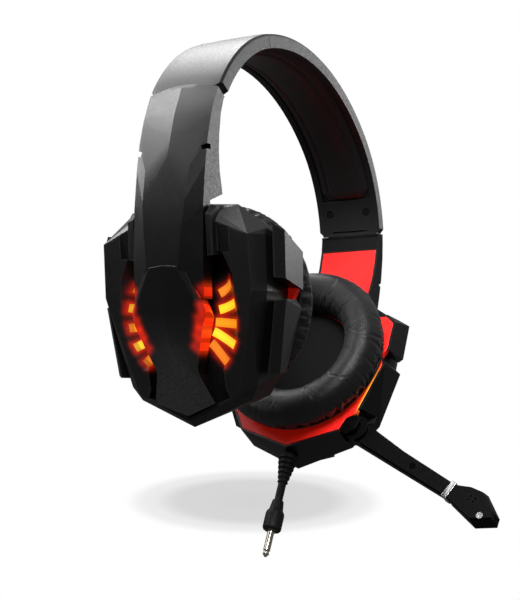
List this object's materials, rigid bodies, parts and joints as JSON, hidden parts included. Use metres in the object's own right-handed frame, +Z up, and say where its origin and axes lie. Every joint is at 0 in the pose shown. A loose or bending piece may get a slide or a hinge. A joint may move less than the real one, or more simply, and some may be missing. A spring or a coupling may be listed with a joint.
{
  "type": "gaming headset",
  "caption": "Over-ear gaming headset with facetted lit ear cups, padded sprung headband, sliding arms, swinging microphone boom and a cable with a round audio plug.",
  "frame": {"origin": "midway between the two ear cups, on the line through their centres", "axes": "+Z up towards the headband, the wearer faces -Y, +X towards the wearer's left cup, which carries the microphone and the cable"},
  "size_m": [0.2054, 0.1617, 0.2572],
  "materials": {
    "black_plastic": "satin, fine sparkle grain",
    "band_plastic": "satin",
    "dark_plastic": "matte",
    "red_plastic": "satin",
    "leather": "soft semi-gloss imitation leather",
    "speaker_cloth": "fine woven mesh",
    "rubber": "matte",
    "light_guide": "lit, diffusing",
    "circuit_board": "lacquered",
    "diaphragm": "thin film",
    "steel": "brushed",
    "screw_steel": "zinc",
    "chrome": "polished",
    "plug_metal": "polished"
  },
  "bodies": {
    "headband": {"headband_cover": "band_plastic", "headband_liner": "dark_plastic", "headband_pad": "leather", "headband_spring": "steel", "headband_screws": "screw_steel"},
    "left_arm": {"left_arm_spine": "black_plastic", "left_arm_panel": "red_plastic", "left_arm_slider": "steel", "left_arm_screws": "screw_steel", "left_tilt_pin": "steel"},
    "left_cup": {"left_cup_shell": "black_plastic", "left_cup_pods": "black_plastic", "left_cup_baffle": "red_plastic", "left_light_guides": "light_guide", "left_led_board": "circuit_board", "left_driver_frame": "dark_plastic", "left_driver_magnet": "steel", "left_driver_diaphragm": "diaphragm", "left_speaker_cloth": "speaker_cloth", "left_cushion_ring": "dark_plastic", "left_cushion": "leather", "left_cup_screws": "screw_steel", "mic_hinge_cap": "black_plastic", "mic_pivot_pin": "steel", "cable_boot": "rubber", "cable": "rubber", "plug_body": "rubber", "plug_tip": "plug_metal"},
    "right_arm": {"right_arm_spine": "black_plastic", "right_arm_panel": "red_plastic", "right_arm_slider": "steel", "right_arm_screws": "screw_steel", "right_tilt_pin": "steel"},
    "right_cup": {"right_cup_shell": "black_plastic", "right_cup_pods": "black_plastic", "right_cup_baffle": "red_plastic", "right_light_guides": "light_guide", "right_led_board": "circuit_board", "right_driver_frame": "dark_plastic", "right_driver_magnet": "steel", "right_driver_diaphragm": "diaphragm", "right_speaker_cloth": "speaker_cloth", "right_cushion_ring": "dark_plastic", "right_cushion": "leather", "right_cup_screws": "screw_steel"},
    "mic_boom": {"mic_boom_body": "black_plastic", "mic_boom_cover": "black_plastic", "mic_band": "chrome", "mic_capsule": "steel", "mic_screws": "screw_steel"}
  },
  "joints": [
    {"name": "left_arm_slide", "type": "slide", "parent": "headband", "child": "left_arm", "axis": [0.4083, 0, -0.9128], "range_m": [0, 0.018]},
    {"name": "right_arm_slide", "type": "slide", "parent": "headband", "child": "right_arm", "axis": [-0.4083, 0, -0.9128], "range_m": [0, 0.018]},
    {"name": "left_cup_tilt", "type": "hinge", "parent": "left_arm", "child": "left_cup", "pos_m": [0.07707, 0, 0.00357], "axis": [0, 1, 0], "range_deg": [-3, 3]},
    {"name": "right_cup_tilt", "type": "hinge", "parent": "right_arm", "child": "right_cup", "pos_m": [-0.07707, 0, 0.00357], "axis": [0, -1, 0], "range_deg": [-3, 3]},
    {"name": "mic_boom_swing", "type": "hinge", "parent": "left_cup", "child": "mic_boom", "pos_m": [0.04637, -0.0352, -0.03794], "axis": [-0.9636, 0, 0.2672], "range_deg": [-60, 40]}
  ]
}
